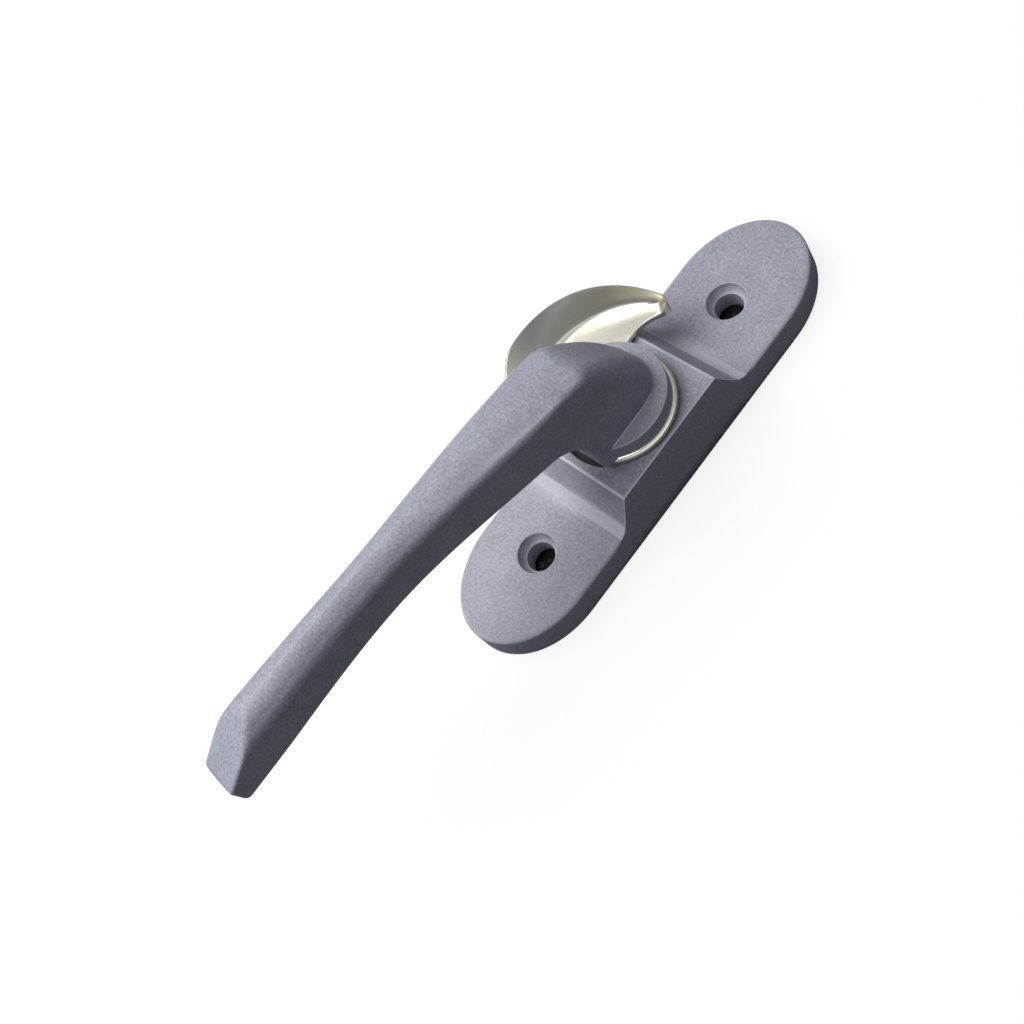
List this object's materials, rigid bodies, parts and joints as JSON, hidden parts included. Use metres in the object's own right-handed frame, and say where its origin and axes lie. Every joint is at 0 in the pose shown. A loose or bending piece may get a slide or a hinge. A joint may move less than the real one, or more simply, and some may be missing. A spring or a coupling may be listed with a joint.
{
  "type": "crescent sash lock",
  "caption": "Crescent sash lock: a grey cast base with screw ears, a cranked lever handle and a bright hooked cam that turn together to draw two window sashes shut.",
  "frame": {"origin": "centre of the base's back face, midway between the two mounting holes and under the turning axis", "axes": "+Z out of the back face along the turning axis, +Y along the base away from the handle, +X across the base away from the crescent"},
  "size_m": [0.0324, 0.1283, 0.0446],
  "materials": {
    "powder_coat": "blue-grey powder coat with a fine grain, on zinc die casting",
    "satin_nickel": "warm satin nickel plate",
    "bright_zinc": "bright zinc plate on steel",
    "spring_steel": "oiled blue-grey spring steel",
    "bronze": "plain sintered bronze"
  },
  "bodies": {
    "base": {"base_casting": "powder_coat", "pivot_bush": "bronze", "thrust_washer": "bright_zinc", "detent_spring_left": "spring_steel", "detent_spring_right": "spring_steel", "back_plate": "bright_zinc", "back_plate_screws": "bright_zinc"},
    "turning_group": {"handle": "powder_coat", "crescent": "satin_nickel", "spindle": "bright_zinc", "detent_cam": "bright_zinc", "curved_washer": "spring_steel", "tail_washer": "bright_zinc", "tail_nut": "bright_zinc"}
  },
  "joints": [
    {"name": "handle_turn", "type": "hinge", "parent": "base", "child": "turning_group", "pos_m": [0, 0, 0], "axis": [0, 0, 1], "range_deg": [0, 180], "deforming": ["detent_spring_left", "detent_spring_right"]}
  ]
}
